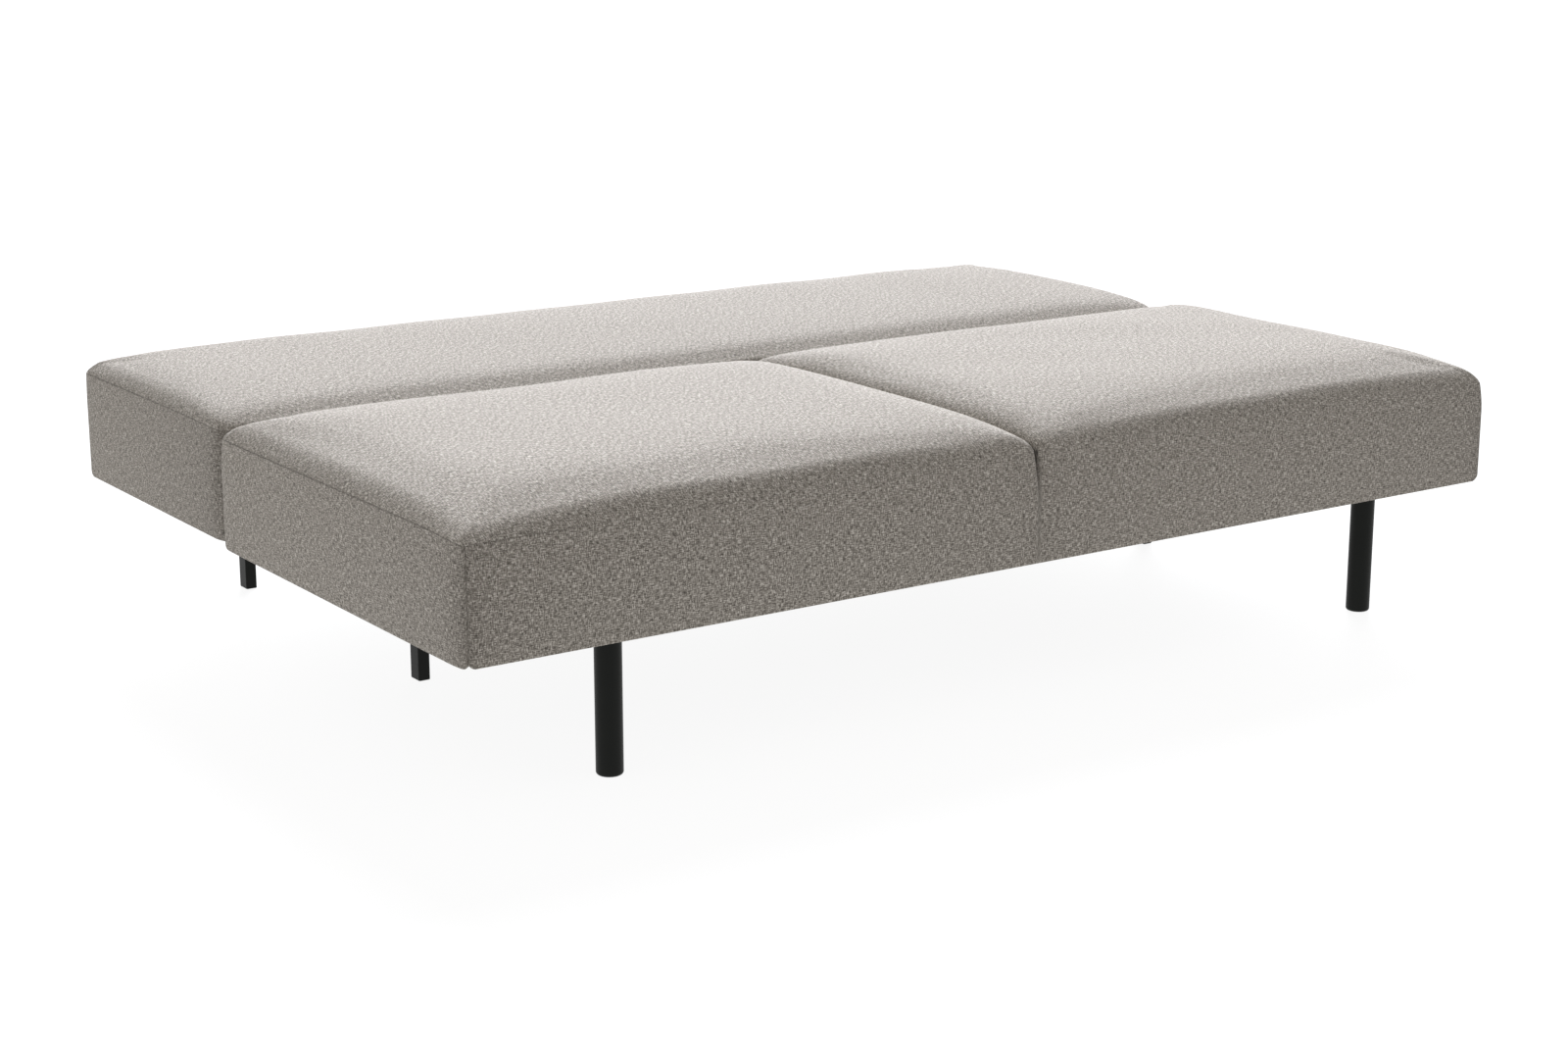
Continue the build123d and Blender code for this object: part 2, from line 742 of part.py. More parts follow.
# Folding hinges: an arm bolted to the seat's bearer and one to the back's, on a pin at the top of the gap
def hinge_arm(toward, x_middle, hole_radius):
    """Arm with its bolted plate, its neck and its boss; toward is -1 for the seat, 1 for the back."""
    with BuildPart() as arm:
        with BuildSketch(Plane.YZ.offset(x_middle)):
            hinge_neck(toward)
            with Locations((fold_line + toward * arm_bolt_centre, bearer_middle)):
                Rectangle(arm_plate_length, arm_plate_height)
            with Locations((fold_line, pivot_height)):
                Circle(hole_radius, mode=Mode.SUBTRACT)
            with Locations(*((fold_line + toward * step, bearer_middle) for step in arm_bolt_steps)):
                Circle(bolt_radius + bolt_clearance, mode=Mode.SUBTRACT)
        extrude(amount=arm_thickness / 2, both=True)
    return arm


def arm_bolts(toward, arm_x):
    """Bolts through both bearers and arms, with a hexagon head on the arm and a nut inside the bearer."""
    with BuildPart() as bolts:
        for sign in sides.values():
            head_x = arm_x + arm_thickness
            nut_x = arm_x - timber_thickness
            for step in arm_bolt_steps:
                spot = (fold_line + toward * step, bearer_middle)
                with BuildSketch(Plane.YZ.offset(sign * (head_x + bolt_head_height / 2))):
                    with Locations(spot):
                        RegularPolygon(bolt_head_radius, 6)
                extrude(amount=bolt_head_height / 2, both=True)
                with BuildSketch(Plane.YZ.offset(sign * (nut_x - bolt_head_height / 2))):
                    with Locations(spot):
                        RegularPolygon(bolt_head_radius, 6)
                extrude(amount=bolt_head_height / 2, both=True)
                with BuildSketch(Plane.YZ.offset(sign * (head_x + nut_x) / 2)):
                    with Locations(spot):
                        Circle(bolt_radius)
                extrude(amount=(head_x - nut_x) / 2, both=True)
    return bolts


save(arm_bolts(-1, seat_arm_x), "seat_arm_bolts")
save(arm_bolts(1, back_arm_x), "back_arm_bolts")

for side, sign in sides.items():
    seat_arm_middle = sign * (seat_arm_x + arm_thickness / 2)
    save(hinge_arm(-1, seat_arm_middle, pivot_radius + pin_press_clearance), f"hinge_seat_arm_{side}")
    back_arm_middle = sign * (back_arm_x + arm_thickness / 2)
    save(hinge_arm(1, back_arm_middle, pivot_radius + pivot_clearance), f"hinge_back_arm_{side}")

    with BuildPart() as hinge_pin:
        for head_x in (seat_arm_x - pin_head_height / 2, pin_tail_x + pin_head_height / 2):
            with BuildSketch(Plane.YZ.offset(sign * head_x)):
                with Locations((fold_line, pivot_height)):
                    Circle(pin_head_radius)
            extrude(amount=pin_head_height / 2, both=True)
        with BuildSketch(Plane.YZ.offset(sign * (seat_arm_x + pin_tail_x) / 2)):
            with Locations((fold_line, pivot_height)):
                Circle(pivot_radius)
        extrude(amount=(pin_tail_x - seat_arm_x) / 2, both=True)
    save(hinge_pin, f"hinge_pin_{side}")

with BuildPart() as hinge_washers:
    for sign in sides.values():
        for washer_x in (inner_washer_x, outer_washer_x):
            with BuildSketch(Plane.YZ.offset(sign * (washer_x + washer_thickness / 2))):
                with Locations((fold_line, pivot_height)):
                    Circle(washer_radius)
                    Circle(pivot_radius + pivot_clearance, mode=Mode.SUBTRACT)
            extrude(amount=washer_thickness / 2, both=True)
save(hinge_washers, "hinge_washers")
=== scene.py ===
import math
from dataclasses import dataclass, replace

import bmesh
import bpy
import numpy as np
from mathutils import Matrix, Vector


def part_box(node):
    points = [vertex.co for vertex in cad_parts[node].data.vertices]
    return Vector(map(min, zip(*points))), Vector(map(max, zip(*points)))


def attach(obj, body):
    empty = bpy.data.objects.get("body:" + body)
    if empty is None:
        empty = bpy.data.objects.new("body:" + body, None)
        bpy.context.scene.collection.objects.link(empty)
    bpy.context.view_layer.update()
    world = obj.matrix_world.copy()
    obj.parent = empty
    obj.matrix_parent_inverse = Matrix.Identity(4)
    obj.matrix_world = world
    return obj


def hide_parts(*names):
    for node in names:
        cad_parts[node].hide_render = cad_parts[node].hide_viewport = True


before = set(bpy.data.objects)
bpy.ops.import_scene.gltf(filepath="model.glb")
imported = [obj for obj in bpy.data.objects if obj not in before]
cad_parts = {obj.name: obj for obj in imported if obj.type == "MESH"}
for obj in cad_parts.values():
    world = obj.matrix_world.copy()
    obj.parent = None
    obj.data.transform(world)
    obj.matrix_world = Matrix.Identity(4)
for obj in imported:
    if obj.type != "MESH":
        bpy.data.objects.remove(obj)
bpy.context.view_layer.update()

# Studio: a plain pale floor, lit from within like a light table, under one broad soft light from above and
# behind, with a weak light from the left and an even sky that is darker on the camera's side. The camera
# stands where the photograph was taken from, off the bed's front left corner and above its top.
scene = bpy.context.scene
scene.view_settings.view_transform = "Standard"
scene.view_settings.look = "None"

camera_lens = bpy.data.cameras.new("camera")
camera_lens.lens = 61.97
camera_lens.sensor_width = 36.0
camera_lens.clip_end = 200.0
camera_dip = 13.981
camera_turn = 34.625
camera = bpy.data.objects.new("camera", camera_lens)
camera.location = (-2.610, -3.787, 1.270)
camera.rotation_euler = (math.radians(90 - camera_dip), 0, math.radians(-camera_turn))
scene.collection.objects.link(camera)
scene.camera = camera

sky = bpy.data.worlds.new("sky")
sky.use_nodes = True
sky_nodes = sky.node_tree.nodes
sky_links = sky.node_tree.links
sky_way = sky_nodes.new("ShaderNodeTexCoord")
toward_camera = (-0.57, -0.82, 0.0)
sky_side = sky_nodes.new("ShaderNodeVectorMath")
sky_side.operation = "DOT_PRODUCT"
sky_side.inputs[1].default_value = toward_camera
sky_tone = sky_nodes.new("ShaderNodeValToRGB")
sky_tone.color_ramp.elements[0].position = 0.35
sky_tone.color_ramp.elements[0].color = (1.0, 0.99, 0.975, 1.0)
sky_tone.color_ramp.elements[1].position = 0.95
sky_tone.color_ramp.elements[1].color = (0.42, 0.415, 0.41, 1.0)
sky_links.new(sky_way.outputs["Generated"], sky_side.inputs[0])
sky_links.new(sky_side.outputs["Value"], sky_tone.inputs[0])
sky_links.new(sky_tone.outputs["Color"], sky_nodes["Background"].inputs["Color"])
sky_nodes["Background"].inputs["Strength"].default_value = 0.66
scene.world = sky

softbox_light = bpy.data.lights.new("softbox", "SUN")
softbox_light.energy = 8.5
softbox_light.angle = math.radians(36)
softbox_light.color = (0.945, 0.957, 1.0)
softbox = bpy.data.objects.new("softbox", softbox_light)
softbox.rotation_euler = (math.radians(-46), math.radians(50), 0)
scene.collection.objects.link(softbox)

side_light = bpy.data.lights.new("side_light", "SUN")
side_light.energy = 0.6
side_light.angle = math.radians(90)
side_fill = bpy.data.objects.new("side_fill", side_light)
side_fill.rotation_euler = (0, math.radians(-60), 0)
scene.collection.objects.link(side_fill)

floor_reach = 45.0
floor_mesh = bpy.data.meshes.new("studio_floor")
floor_corners = [(-floor_reach, -floor_reach, 0), (floor_reach, -floor_reach, 0)]
floor_corners += [(floor_reach, floor_reach, 0), (-floor_reach, floor_reach, 0)]
floor_mesh.from_pydata(floor_corners, [], [(0, 1, 2, 3)])
studio_floor = bpy.data.objects.new("studio_floor", floor_mesh)
scene.collection.objects.link(studio_floor)
floor_finish = bpy.data.materials.new("pale_floor")
floor_finish.use_nodes = True
floor_shader = floor_finish.node_tree.nodes["Principled BSDF"]
floor_shader.inputs["Base Color"].default_value = (0.08, 0.08, 0.08, 1.0)
floor_shader.inputs["Emission Color"].default_value = (1.0, 1.0, 1.0, 1.0)
floor_shader.inputs["Emission Strength"].default_value = 0.92
floor_shader.inputs["Roughness"].default_value = 0.9
floor_shader.inputs["Specular IOR Level"].default_value = 0.1
floor_mesh.materials.append(floor_finish)

# Cover cloth: a heavy plain weave of warm light-grey melange yarn. Each yarn is spun from dark and pale
# fibres, so it is flecked along its length, and warp and weft show as a fine cross-hatch. It reads the
# cloth's own map, in metres along warp and weft, and a seam attribute of painted shade, which darkens the
# cloth in the seams' grooves, down the tuck and beside the upright seams and the fold.


class NodeSheet:
    """Adds shader nodes to one material and links them, each made from its type, settings and inputs."""

    def __init__(self, name):
        self.material = bpy.data.materials.new(name)
        self.material.use_nodes = True
        self.tree = self.material.node_tree
        self.shader = self.tree.nodes["Principled BSDF"]

    def feed(self, socket, value):
        """Set a socket to a plain value, or link it to another node's output."""
        if isinstance(value, bpy.types.NodeSocket):
            self.tree.links.new(value, socket)
        else:
            socket.default_value = value

    def node(self, kind, settings=None, **inputs):
        """One node; inputs are named as its sockets are, with _ for a space, or _0, _1 for its places."""
        made = self.tree.nodes.new(kind)
        for name, value in (settings or {}).items():
            setattr(made, name, value)
        for name, value in inputs.items():
            place = int(name[1:]) if name[0] == "_" else name.replace("_", " ")
            self.feed(made.inputs[place], value)
        return made

    def math(self, operation, first, second=0.0):
        """Result of one arithmetic step."""
        return self.node("ShaderNodeMath", {"operation": operation}, _0=first, _1=second).outputs[0]

    def ramp(self, value, stops):
        """Colour read from a ramp of (place, colour) stops."""
        made = self.node("ShaderNodeValToRGB", _0=value)
        elements = made.color_ramp.elements
        while len(elements) < len(stops):
            elements.new(0.5)
        for element, (place, colour) in zip(elements, stops):
            element.position = place
            element.color = (*colour, 1.0)
        return made.outputs["Color"]

    def noise(self, vector, scale, detail=2.0, roughness=0.5):
        """Grey value of a noise texture at a vector."""
        grain = {"Scale": scale, "Detail": detail, "Roughness": roughness}
        return self.node("ShaderNodeTexNoise", Vector=vector, **grain).outputs[0]

    def stretched(self, vector, scale):
        """A vector with each of its parts multiplied."""
        made = self.node("ShaderNodeVectorMath", {"operation": "MULTIPLY"}, _0=vector, _1=scale)
        return made.outputs[0]


def melange_weave(name):
    """Weave: warp and weft are sine ribs at right angles that take turns to show more, square by square.
    Their colour is noise drawn out along each yarn, mixed by the same turns, with a faint broad mottle."""
    sheet = NodeSheet(name)
    cloth = sheet.node("ShaderNodeUVMap", {"uv_map": "cloth"}).outputs[0]
    parts = sheet.node("ShaderNodeSeparateXYZ", _0=cloth)
    yarns = 560.0
    fleck_across = 700.0
    fleck_along = 130.0
    turn_swing = 0.3
    mottle_share = 0.07
    across = sheet.math("SINE", sheet.math("MULTIPLY", parts.outputs[0], math.pi * yarns))
    along = sheet.math("SINE", sheet.math("MULTIPLY", parts.outputs[1], math.pi * yarns))
    turn = sheet.math("MULTIPLY_ADD", sheet.math("MULTIPLY", across, along), turn_swing)
    turn.node.inputs[2].default_value = 0.5
    warp = sheet.noise(sheet.stretched(cloth, (fleck_across, fleck_along, 0.0)), 1.0, 1.0, 0.5)
    weft = sheet.noise(sheet.stretched(cloth, (fleck_along, fleck_across, 0.0)), 1.0, 1.0, 0.5)
    fleck = sheet.node("ShaderNodeMix", {"data_type": "FLOAT"}, _0=turn, _2=warp, _3=weft).outputs[0]
    mottle = sheet.noise(cloth, 60.0, 3.0, 0.6)
    mottle = sheet.math("MULTIPLY", sheet.math("SUBTRACT", mottle, 0.5), mottle_share)
    tone = sheet.math("ADD", fleck, mottle)
    dark = (0.060, 0.053, 0.044)
    middle = (0.236, 0.213, 0.185)
    pale = (0.60, 0.561, 0.510)
    colour = sheet.ramp(tone, [(0.33, dark), (0.5, middle), (0.67, pale)])
    # The seam attribute paints shade: it multiplies the colour by a grey in the seams' grooves, down the tuck
    # and beside the upright seams and the fold.
    seam = sheet.node("ShaderNodeAttribute", {"attribute_name": "seam"}).outputs["Fac"]
    painted_seam_shade = (0.45, 0.44, 0.43, 1.0)
    darken = {"data_type": "RGBA", "blend_type": "MULTIPLY"}
    shaded = sheet.node("ShaderNodeMix", darken, _0=seam, _6=colour, _7=painted_seam_shade)
    sheet.feed(sheet.shader.inputs["Base Color"], shaded.outputs[2])
    rib = sheet.math("ADD", sheet.math("MULTIPLY", sheet.math("ABSOLUTE", across), turn), fleck)
    bump = sheet.node("ShaderNodeBump", Strength=0.6, Distance=0.001, Height=rib)
    sheet.feed(sheet.shader.inputs["Normal"], bump.outputs[0])
    sheet.shader.inputs["Roughness"].default_value = 0.92
    sheet.shader.inputs["Specular IOR Level"].default_value = 0.18
    sheet.shader.inputs["Sheen Weight"].default_value = 0.12
    sheet.shader.inputs["Sheen Roughness"].default_value = 0.5
    return sheet.material


grey_weave = melange_weave("grey_weave")

# Seat upholstery: two crowned pads under one sewn cover, over foam on a timber box. A plain border runs
# round the sides, sewn to each top panel. Between the pads the cover is tucked down, and below it turns
# under the box. The cloth is laid over the foam, then a simulation presses it out.


@dataclass
class PadShape:
    """Shape of one pad in metres. Fours stand for the outer end, the inner end, the front and the rear, or
    for the corners outer front, outer rear, inner front and inner rear."""

    rolls: tuple  # how far in from each edge its tight roll reaches
    slopes: tuple  # how far in from each edge the slower slope behind the roll reaches
    steeps: tuple  # share of the lift along each edge that its tight roll takes, the slope taking the rest
    setbacks: tuple  # how far the seam along each edge lies inside the border's face
    corners: tuple  # plan rounding of the front and rear corners, each as inset and reach along the end
    lift: float  # height of the roll over the seam
    crown: float  # height of the middle over the roll
    levels: tuple  # height of the seam along each edge
    dips: tuple  # how far the seam is pulled down at each corner
    drops: tuple  # how much lower the roll is at each corner
    bows: tuple  # how far each border stands out halfway down
    # clears and shades set painted shade: the dark lines in the seams' grooves, and the darkening of the
    # borders beside the upright seams and the fold.
    clears: tuple  # how strongly the seams show everywhere, and how much more at the ends
    painted_shades: tuple  # how dark the borders get: the ends at front and rear, the others at outer and inner
    base: float  # height of the underside
    tuck: bool  # whether the inner end is tucked down instead of sewn to a border
    seed: int  # start of the small unevenness


def graded(length, step, fine):
    """Places from 0 to length about a step apart, with the fine distances added at both ends."""
    inner = np.arange(1, round(length / step)) * length / round(length / step)
    inner = inner[(inner > fine[-1]) & (inner < length - fine[-1])]
    return np.concatenate([fine, inner, (length - fine)[::-1]])


def edge_steps(run):
    """Distances in from an edge that follow a quarter circle of the given run, closest at the seam."""
    turn = np.concatenate([[0, 0.06, 0.1, 0.15, 0.21, 0.28], np.linspace(0.36, np.pi / 2, 11)])
    return run * (1 - np.cos(turn))


def rise_in(distance, run, power=0.5):
    """Rise from 0 at an edge to 1 at the run's end: a quarter circle with power a half, a parabola with
    power 1."""
    return (1 - np.clip(1 - distance / run, 0, 1) ** 2) ** power


def waver(first, second, seed, length, count=7):
    """Soft unevenness: a sum of sine waves of about the given length in seeded directions, about 1 high."""
    dice = np.random.default_rng(seed)
    angle, phase = dice.uniform(0, 2 * np.pi, (2, count))
    wave = 2 * np.pi / (length * dice.uniform(0.6, 1.6, count))
    total = np.zeros(np.broadcast(first, second).shape)
    for turn, shift, number in zip(angle, phase, wave):
        total = total + np.sin(number * (first * np.cos(turn) + second * np.sin(turn)) + shift)
    return total / math.sqrt(count) / 1.4


def grid_lengths(points):
    """Lengths along both ways of a grid of points, counted from its middle lines."""
    across = np.linalg.norm(np.diff(points, axis=0), axis=2)
    along = np.linalg.norm(np.diff(points, axis=1), axis=2)
    first = np.concatenate([np.zeros((1, points.shape[1])), np.cumsum(across, axis=0)])
    second = np.concatenate([np.zeros((points.shape[0], 1)), np.cumsum(along, axis=1)], axis=1)
    first = first - first[points.shape[0] // 2]
    second = second - second[:, [points.shape[1] // 2]]
    return first, second


def grid_normals(points):
    """Unit normals of a grid of points, from the cross product of its two directions."""
    normal = np.cross(np.gradient(points, axis=0), np.gradient(points, axis=1))
    return normal / np.maximum(np.linalg.norm(normal, axis=2, keepdims=True), 1e-12)


seam_width = 0.0013
seam_roll = 0.0009
seam_rise = 0.0016
seam_fall = 0.010
pucker_length = 0.03
pucker_share = 0.5


def seam_swell(distance, along, seed):
    """Height of cloth beside a seam: nothing on the seam, then a small roll that rises and dies away
    exponentially, lightly puckered."""
    pucker = 1 + pucker_share * waver(along, 0 * along, seed, pucker_length)
    return seam_roll * (1 - np.exp(-distance / seam_rise)) * np.exp(-distance / seam_fall) * pucker


seam_height = 0.392
sag_reach = 0.06
drop_reaches = (0.17, 0.17, 0.11, 0.11)
top_uneven = 0.0011
top_uneven_length = 0.34
seam_fade = 0.20
slow_power = 0.75
corner_pairs = ((0, 2), (0, 3), (1, 2), (1, 3))


def top_panel(across, along, shape):
    """Top panel as a grid of places across and along, with how strongly its painted seam shade shows. Its
    height is the seam's, plus a lift that rolls up from each edge and is lowered by a bell at each corner,
    plus a parabolic crown. A roll is a blend of a quarter circle and a slower, flatter rise; the four rolls
    meet as the fourth-power norm of what each lacks. The seam's height nears its level at each edge, and
    drops by its dip at each corner, exponentially. The seam, a small roll with a painted shade line in its
    groove, shows most near the ends."""
    length, depth = across[-1], along[-1]
    outer_set, inner_set, front_set, rear_set = shape.setbacks
    share, y = np.meshgrid(across / length, along, indexing="ij")
    (front_inset, front_reach), (rear_inset, rear_reach) = shape.corners
    front_round = front_inset * (1 - rise_in(y, front_reach))
    rear_round = rear_inset * (1 - rise_in(depth - y, rear_reach))
    round_off = front_round + rear_round
    outer = outer_set + round_off
    inner = 0 * outer if shape.tuck else inner_set + round_off
    x = outer + (length - outer - inner) * share
    y = front_set + (depth - front_set - rear_set) * y / depth
    gaps = np.stack([x - outer, length - inner - x, y - front_set, depth - rear_set - y])
    tight, slow, steep = np.reshape([shape.rolls, shape.slopes, shape.steeps], (3, 4, 1, 1))
    rolls = steep * rise_in(gaps, tight) + (1 - steep) * rise_in(gaps, slow, slow_power)
    roll = np.clip(1 - np.sum((1 - rolls) ** 4, axis=0) ** 0.25, 0, 1)
    near = np.exp(-gaps / sag_reach)
    bell = np.exp(-((gaps / np.reshape(drop_reaches, (4, 1, 1))) ** 2))
    sag = np.tensordot(seam_height - np.array(shape.levels), near, 1)
    lift = shape.lift
    for (end, side), dip, drop in zip(corner_pairs, shape.dips, shape.drops):
        sag = sag + dip * near[end] * near[side]
        lift = lift - drop * bell[end] * bell[side]
    bulge = np.clip((1 - (2 * x / length - 1) ** 2) * (1 - (2 * y / depth - 1) ** 2), 0, None)
    crown = shape.crown * bulge**slow_power * np.minimum(roll * 2, 1)
    uneven = top_uneven * waver(x, y, shape.seed, top_uneven_length)
    z = seam_height - sag + (lift + uneven) * roll + crown
    points = np.stack([x, y, z], axis=2)
    arc = gaps + shape.lift * rolls
    sewn = arc[[0, 2, 3]] if shape.tuck else arc
    ends = gaps[0] if shape.tuck else np.minimum(gaps[0], gaps[1])
    nearest = sewn.min(axis=0)
    clear = shape.clears[0] + shape.clears[1] * np.exp(-ends / seam_fade)
    swell = clear * seam_swell(nearest, x + 1.7 * y, shape.seed + 1)
    return points + grid_normals(points) * swell[:, :, None], clear * np.exp(-((nearest / seam_width) ** 2))


under_edge = 0.002
under_round = 0.012
turn_under = 0.055
lining_step = 0.0026
lean_run = 0.055
bow_fade = 0.025
border_uneven = 0.0008
border_uneven_length = 0.22
# Short and long tails of the painted shade beside the upright seams, as share and reach.
painted_shade_tails = ((0.65, 0.02), (0.35, 0.25))
border_height = 0.185
border_fine = [0, 0.0008, 0.0016, 0.0028, 0.0043, 0.0062, 0.009, 0.013]
border_steps = np.concatenate([border_fine, np.arange(0.02, 0.17, 0.011)])
border_steps = np.append(border_steps / border_height, 1.0)


def border_panel(edge, seam, facing, lean, bow, base, inner, stitches, painted_shades, seed):
    """Border as a grid below a seam: each column leaves the seam's point, leans out to the border's face
    along a parabola, bows a little on its way down, rounds the under-edge by a quarter circle and runs in
    flat to the turn-under's inner edge. The lower corners are quarter circles too. The bow dies away
    exponentially towards the upright seams at both ends. Their grooves get painted shade lines as strong as
    stitches says, and painted shade darkens the cloth beside them by the strength given for each end, over a
    short and a long exponential tail, for the shade where the cloth rounds into the seams and the fold."""
    share = border_steps[None, :]
    top = edge[:, 2:]
    place = np.cumsum(np.append(0, np.linalg.norm(np.diff(edge[:, :2], axis=0), axis=1)))[:, None]
    rest = place[-1] - place
    floor = base
    base = base + under_round * (1 - rise_in(place, under_round))
    if stitches[1] > 0.5:
        base = base + under_round * (1 - rise_in(rest, under_round))
    z = top + (base + under_edge - top) * share
    uneven = border_uneven * waver(place, z, seed + 2, border_uneven_length)
    swell = bow * (1 - (2 * share - 1) ** 2) + uneven * np.sin(np.pi * share)
    swell = swell + seam_swell(top - z, place + 0 * z, seed) * seam[:, None]
    swell = swell * (1 - np.exp(-place / bow_fade)) * (1 - np.exp(-rest / bow_fade))
    out = rise_in(top - z, lean_run, 1)
    side = edge[:, None, :2] + lean[:, None, :] * out[:, :, None] + facing[:, None, :] * swell[:, :, None]
    side = np.concatenate([side, z[:, :, None]], axis=2)
    turn = np.linspace(0, np.pi / 2, 6)[1:]
    low = (edge[:, :2] + lean)[:, None] - facing[:, None] * (under_edge * (1 - np.cos(turn)))[None, :, None]
    low_z = base + under_edge * (1 - np.sin(turn))
    low = np.concatenate([low, low_z[:, :, None]], axis=2)
    inner = np.concatenate([inner, np.full((len(edge), 1), floor)], axis=1)[:, None, :]
    raised = inner + np.array([0, 0, lining_step])
    points = np.concatenate([side, low, (low[:, -1:] + inner) / 2, inner, raised], axis=1)
    # Painted shade: dark lines in the grooves of the top seam and the upright seams, and a broad painted
    # shade beside the upright seams.
    lines = seam[:, None] * np.exp(-(((top - z) / seam_width) ** 2))
    for strength, shade, away in zip(stitches, painted_shades, (place, rest)):
        lines = np.maximum(lines, strength * np.exp(-((away / seam_width) ** 2)))
        tails = sum(part * np.exp(-away / reach) for part, reach in painted_shade_tails)
        lines = np.maximum(lines, shade * tails)
    shown = np.zeros(points.shape[:2])
    shown[:, : z.shape[1]] = lines
    return points, shown


tuck_gap = 0.0045
tuck_floor = 0.366
tuck_lip = 0.022
tuck_draw = 0.016
tuck_draw_reach = 0.05
tuck_closed = 0.30
tuck_opening = 0.09
notch_depth = 0.016
notch_reach = 0.03


def tucked(points, length, depth):
    """Points drawn in from the front and the rear beside the tuck, along a groove with quarter-circle lips
    that is deepest at the top and closes on its way down. It dies away as a bell along the depth."""
    x, y, z = np.moveaxis(points, 2, 0)
    lip = 1 - rise_in(length - x, tuck_lip)
    level = np.clip((z - tuck_closed) / tuck_opening, 0, 1.2) ** 1.5
    ends = np.exp(-((y / tuck_draw_reach) ** 2)) - np.exp(-(((depth - y) / tuck_draw_reach) ** 2))
    return np.stack([x, y + tuck_draw * lip * level * ends, z], axis=2)


lean_fade = 0.03
# Strengths of the upright seams and the tuck's front line, shown as painted shade in their grooves.
upright_seam = 0.8
tuck_seam = 0.4


def pad_panels(across, along, shape):
    """Panels of one pad as (points, seam, flip, free), from its outer end at x 0 and its front at y 0: the
    top, the borders and the underside. If there is a tuck, the top runs on down its wall in straight lines.
    free counts the columns, from the seam, that the foam may press out."""
    top, seam = top_panel(across, along, shape)
    length, depth = across[-1], along[-1]
    if shape.tuck:
        sink = np.linspace(0, 1, 7)[1:, None]
        notch = np.exp(-((along / notch_reach) ** 2)) + np.exp(-(((depth - along) / notch_reach) ** 2))
        lip = top[-1]
        wall_z = lip[:, 2] + (tuck_floor - notch_depth * notch - lip[:, 2]) * sink
        wall_x = lip[:, 0] + (length + tuck_gap - lip[:, 0]) * sink
        wall = np.stack([wall_x, lip[:, 1] + 0 * wall_z, wall_z], axis=2)
        top = np.concatenate([top, wall])
        # The tuck's wall gets full painted shade, for the shadow deep in the groove between the pads.
        seam = np.concatenate([seam, np.ones(wall.shape[:2])])
        length = length + tuck_gap
    columns, rows = top.shape[:2]
    outer_set, inner_set, front_set, rear_set = shape.setbacks
    inner_x = np.clip(top[:, 0, 0], turn_under, length if shape.tuck else length - turn_under)
    inner_y = np.clip(top[0, :, 1], turn_under, depth - turn_under)
    way = np.gradient(top[0, :, :2], axis=0)
    outer_facing = np.stack([-way[:, 1], way[:, 0]], axis=1) / np.linalg.norm(way, axis=1, keepdims=True)
    slant = math.sqrt(0.5)
    outer_facing[0] = (-slant, -slant)
    outer_facing[-1] = (-slant, slant)
    inner_facing = outer_facing * np.array([-1.0, 1.0])
    front_facing = np.tile([0.0, -1.0], (columns, 1))
    front_facing[0] = outer_facing[0]
    from_outer = np.exp(-(top[:, 0, 0] - top[0, 0, 0]) / lean_fade)
    from_inner = 0 * from_outer
    if not shape.tuck:
        front_facing[-1] = inner_facing[0]
        from_inner = from_outer[::-1]
    rear_facing = front_facing * np.array([1.0, -1.0])
    from_front = np.exp(-(top[0, :, 1] - top[0, 0, 1]) / lean_fade)
    from_rear = from_front[::-1]
    spread_x = inner_set * from_inner - outer_set * from_outer
    spread_y = rear_set * from_rear - front_set * from_front
    front = (top[:, 0], seam[:, 0], front_facing, (spread_x, -front_set), (inner_x, turn_under))
    rear = (top[:, -1], seam[:, -1], rear_facing, (spread_x, rear_set), (inner_x, depth - turn_under))
    outer = (top[0], seam[0], outer_facing, (-outer_set, spread_y), (turn_under, inner_y))
    last_seam = tuck_seam if shape.tuck else upright_seam
    sides = [(2, front, last_seam, True), (3, rear, last_seam, False), (0, outer, upright_seam, False)]
    if not shape.tuck:
        inner = (top[-1], seam[-1], inner_facing, (inner_set, spread_y), (length - turn_under, inner_y))
        sides.append((1, inner, upright_seam, True))
    panels = [(top, seam, False, rows)]
    for number, (edge, line, facing, lean, turn_in), stitch, flip in sides:
        bow = shape.bows[number]
        lean = np.stack(np.broadcast_arrays(*lean), axis=1)
        turn_in = np.stack(np.broadcast_arrays(*turn_in), axis=1)
        sewing = ((upright_seam, stitch), shape.painted_shades[number // 2], shape.seed + 3 * number + 3)
        border, shown = border_panel(edge, line, facing, lean, bow, shape.base, turn_in, *sewing)
        panels.append((border, shown, flip, len(border_steps) if bow else 0))
    underside = np.stack(np.meshgrid(inner_x, inner_y, indexing="ij"), axis=2)
    underside = np.concatenate([underside, np.full((columns, rows, 1), shape.base + lining_step)], axis=2)
    panels.append((underside, np.zeros((columns, rows)), True, 0))
    if shape.tuck:
        panels = [(tucked(grid, length, depth), line, flip, free) for grid, line, flip, free in panels]
    return panels


def placed(panels, corner, mirror=False):
    """Panels moved to a corner of the block, or to its mirror image across the middle."""
    way = np.array([-1.0 if mirror else 1.0, 1.0, 1.0])
    start = np.array(corner)
    return [((grid + start) * way, line, flip != mirror, free) for grid, line, flip, free in panels]


def panel_faces(rows, columns, start, flip):
    """Quads of a grid whose points are numbered row by row from start; flip turns them over."""
    number = start + np.arange(rows * columns).reshape(rows, columns)
    corners = [number[:-1, :-1], number[1:, :-1], number[1:, 1:], number[:-1, 1:]]
    quads = np.stack(corners, axis=2).reshape(-1, 4)
    return quads[:, ::-1] if flip else quads


